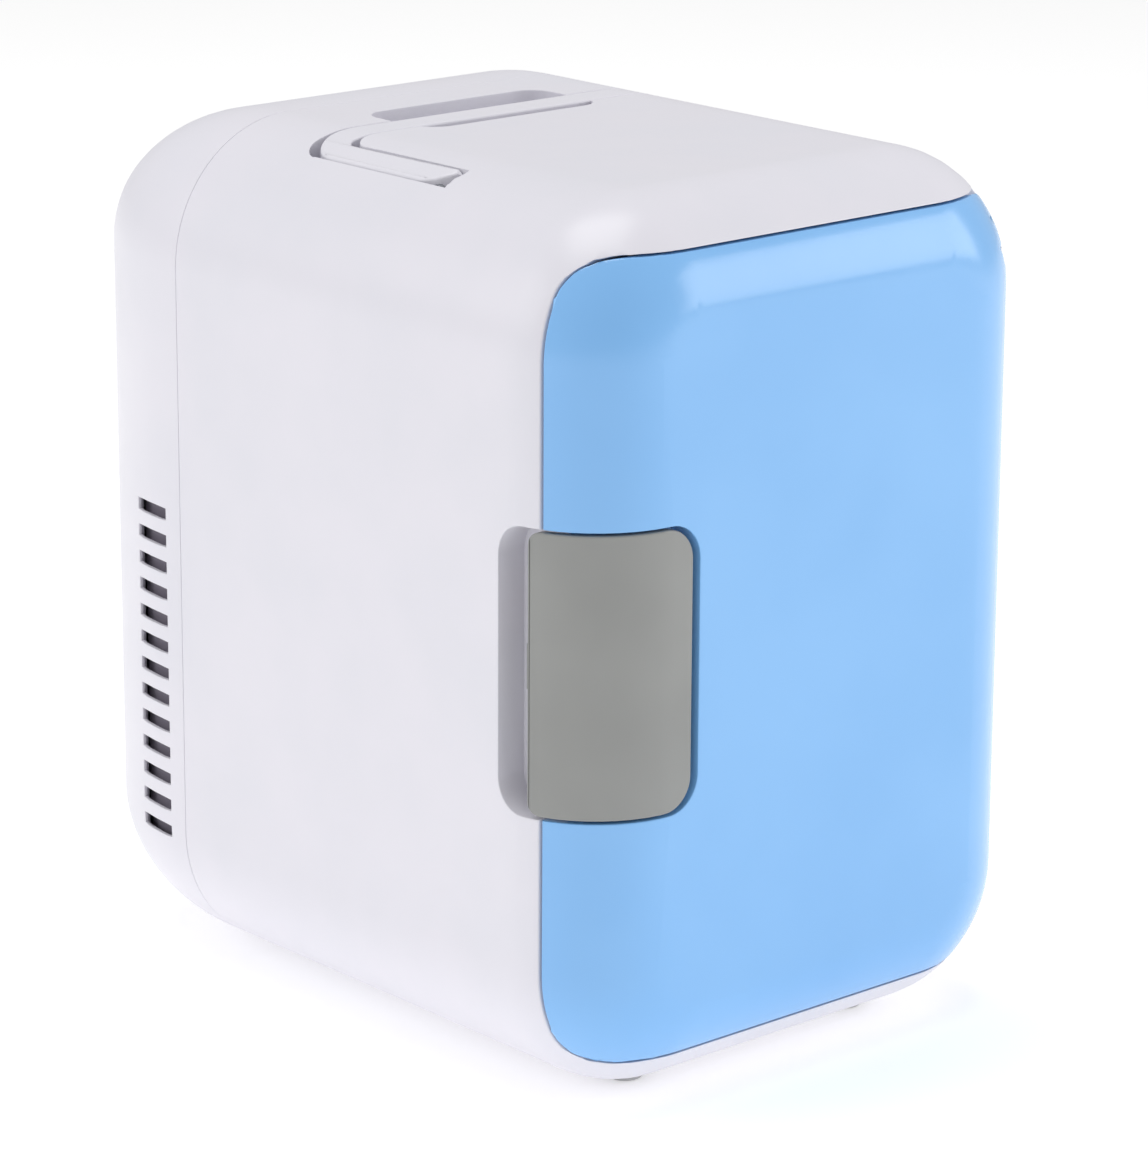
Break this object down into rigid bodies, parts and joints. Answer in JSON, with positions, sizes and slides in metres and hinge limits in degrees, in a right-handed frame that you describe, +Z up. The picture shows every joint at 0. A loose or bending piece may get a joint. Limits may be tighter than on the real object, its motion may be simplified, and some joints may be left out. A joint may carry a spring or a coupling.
{
  "type": "mini fridge",
  "caption": "Small rounded table-top thermoelectric fridge with a hinged door, side latch, folding carry handle and vented rear cover over its fan.",
  "frame": {"origin": "on the floor, under the middle of the cabinet", "axes": "+Z up, the door faces -Y, +X is to the right seen from the front"},
  "size_m": [0.188, 0.256, 0.273],
  "materials": {
    "cabinet_white": "satin moulded ABS",
    "frame_white": "moulded plastic",
    "liner_white": "thermoformed polystyrene",
    "foam": "polyurethane foam",
    "aluminium": "plain",
    "steel": "zinc plated",
    "ceramic": "ceramic plates",
    "black_plastic": "moulded",
    "black_rubber": "soft",
    "bronze": "sintered",
    "copper": "enamelled wire",
    "magnet": "bonded ferrite",
    "board_green": "lacquered board",
    "transformer_tape": "tape",
    "capacitor_sleeve": "sleeve",
    "rocker_red": "moulded",
    "lamp": "tinted lens",
    "foot_grey": "moulded",
    "shelf_clear": "moulded",
    "door_blue": "high gloss",
    "gasket_grey": "soft",
    "latch_grey": "satin"
  },
  "bodies": {
    "cabinet": {"cabinet_shell": "cabinet_white", "rear_cover": "cabinet_white", "mid_frame": "frame_white", "inner_liner": "liner_white", "cabinet_foam": "foam", "cold_plate": "aluminium", "clamp_screws": "steel", "cold_block": "aluminium", "cooling_module": "ceramic", "module_seal": "black_rubber", "heatsink": "aluminium", "thermal_cutout": "black_plastic", "fan_frame": "black_plastic", "fan_bearing": "bronze", "fan_coil": "copper", "fan_screws": "steel", "circuit_board": "board_green", "board_transformer": "transformer_tape", "board_capacitors": "capacitor_sleeve", "board_regulators": "aluminium", "board_screws": "steel", "ac_inlet": "black_plastic", "ac_inlet_pins": "steel", "dc_socket": "black_plastic", "dc_socket_pin": "steel", "switch_housing": "black_plastic", "indicator_lamps": "lamp", "fan_lead": "black_rubber", "module_lead": "black_rubber", "inlet_lead": "black_rubber", "socket_lead": "black_rubber", "switch_lead": "black_rubber", "feet": "foot_grey", "cover_screws": "steel", "hinge_pins": "steel", "latch_keeper": "steel", "handle_pins": "steel"},
    "fan": {"fan_rotor": "black_plastic", "fan_shaft": "steel", "fan_magnet": "magnet"},
    "rocker": {"mode_rocker": "rocker_red"},
    "handle": {"carry_handle": "cabinet_white"},
    "shelf": {"shelf": "shelf_clear"},
    "door": {"door_shell": "door_blue", "door_liner": "liner_white", "door_foam": "foam", "door_gasket": "gasket_grey", "door_screws": "steel", "latch_pin": "steel", "latch_spring": "steel"},
    "latch": {"latch_handle": "latch_grey"},
    "basket": {"door_basket": "shelf_clear"}
  },
  "joints": [
    {"name": "door_hinge", "type": "hinge", "parent": "cabinet", "child": "door", "pos_m": [0.07731, -0.1157, 0.138], "axis": [0, 0, 1], "range_deg": [0, 100]},
    {"name": "latch_pivot", "type": "hinge", "parent": "door", "child": "latch", "pos_m": [-0.058, -0.1215, 0.138], "axis": [0, 0, 1], "range_deg": [0, 22], "stiffness_Nm_per_rad": 0.15},
    {"name": "basket_lift", "type": "slide", "parent": "door", "child": "basket", "axis": [0, 0, 1], "range_m": [0, 0.0065]},
    {"name": "shelf_slide", "type": "slide", "parent": "cabinet", "child": "shelf", "axis": [0, -1, 0], "range_m": [0, 0.034]},
    {"name": "handle_fold", "type": "hinge", "parent": "cabinet", "child": "handle", "pos_m": [0, -0.034, 0.2654], "axis": [1, 0, 0], "range_deg": [0, 90]},
    {"name": "mode_switch", "type": "hinge", "parent": "cabinet", "child": "rocker", "pos_m": [0, 0.122, 0.1985], "axis": [0, 0, 1], "range_deg": [-10, 10]},
    {"name": "fan_spin", "type": "hinge", "parent": "cabinet", "child": "fan", "pos_m": [0, 0.112, 0.0975], "axis": [0, 1, 0], "continuous": true}
  ]
}
